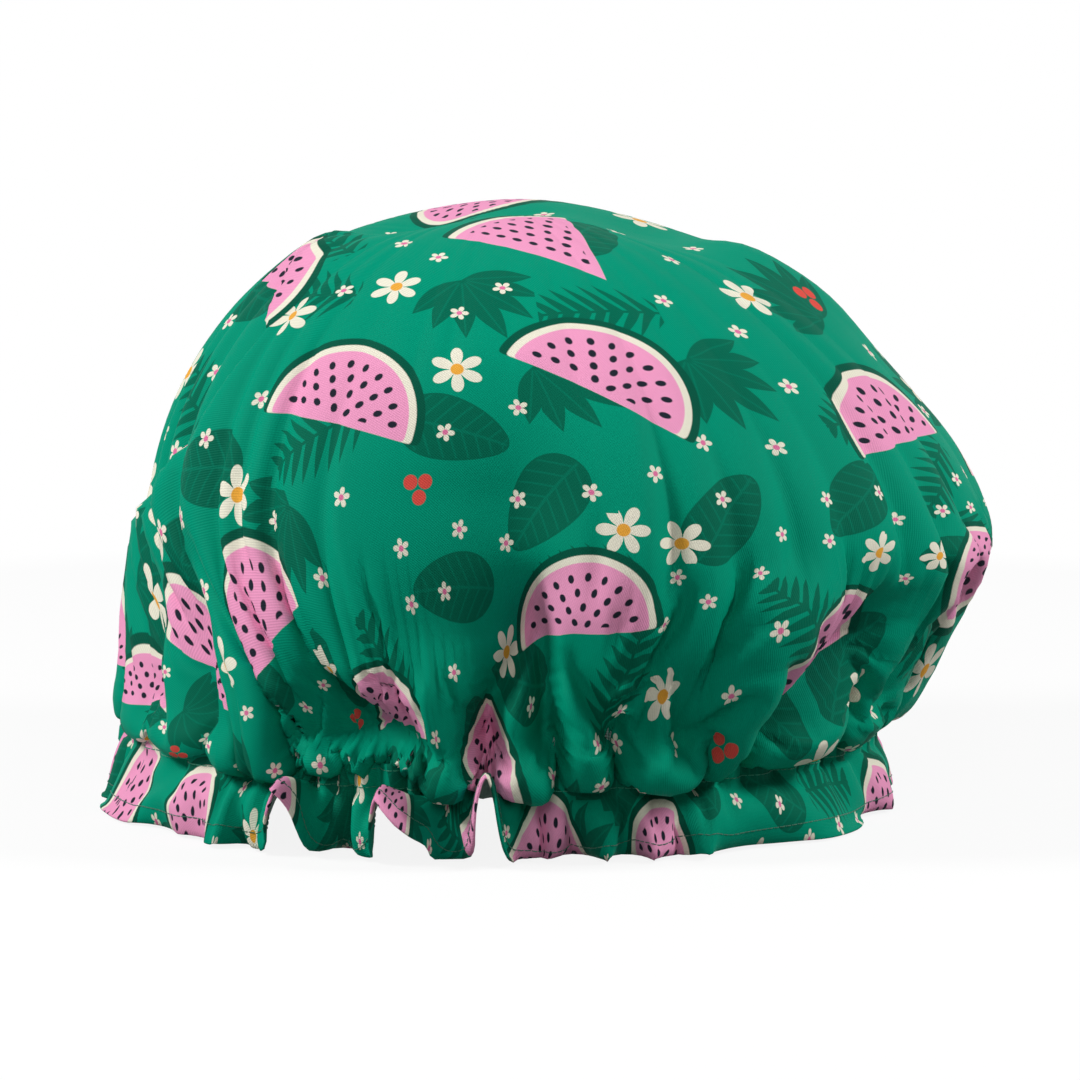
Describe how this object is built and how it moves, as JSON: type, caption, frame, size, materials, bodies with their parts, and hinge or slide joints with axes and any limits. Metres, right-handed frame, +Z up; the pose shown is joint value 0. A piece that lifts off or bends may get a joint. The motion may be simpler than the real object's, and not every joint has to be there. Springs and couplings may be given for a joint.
{
  "type": "shower cap",
  "caption": "Puffed cloth shower cap with a waterproof lining, an elastic neck and a gathered frill that it stands on.",
  "frame": {"origin": "middle of the cap's outline seen from above, on the surface that its hem stands on", "axes": "+X to the side that swells most, on the right seen from the front; +Y from the front to the back; +Z up through the crown"},
  "size_m": [0.2982, 0.2908, 0.2002],
  "materials": {
    "printed_cloth": "satin printed polyester, fine twill weave",
    "lining_film": "soft milky film",
    "elastic": "ribbed knit"
  },
  "bodies": {
    "root": {"outer_cover": "printed_cloth", "waterproof_lining": "lining_film", "elastic_band": "elastic"}
  },
  "joints": []
}
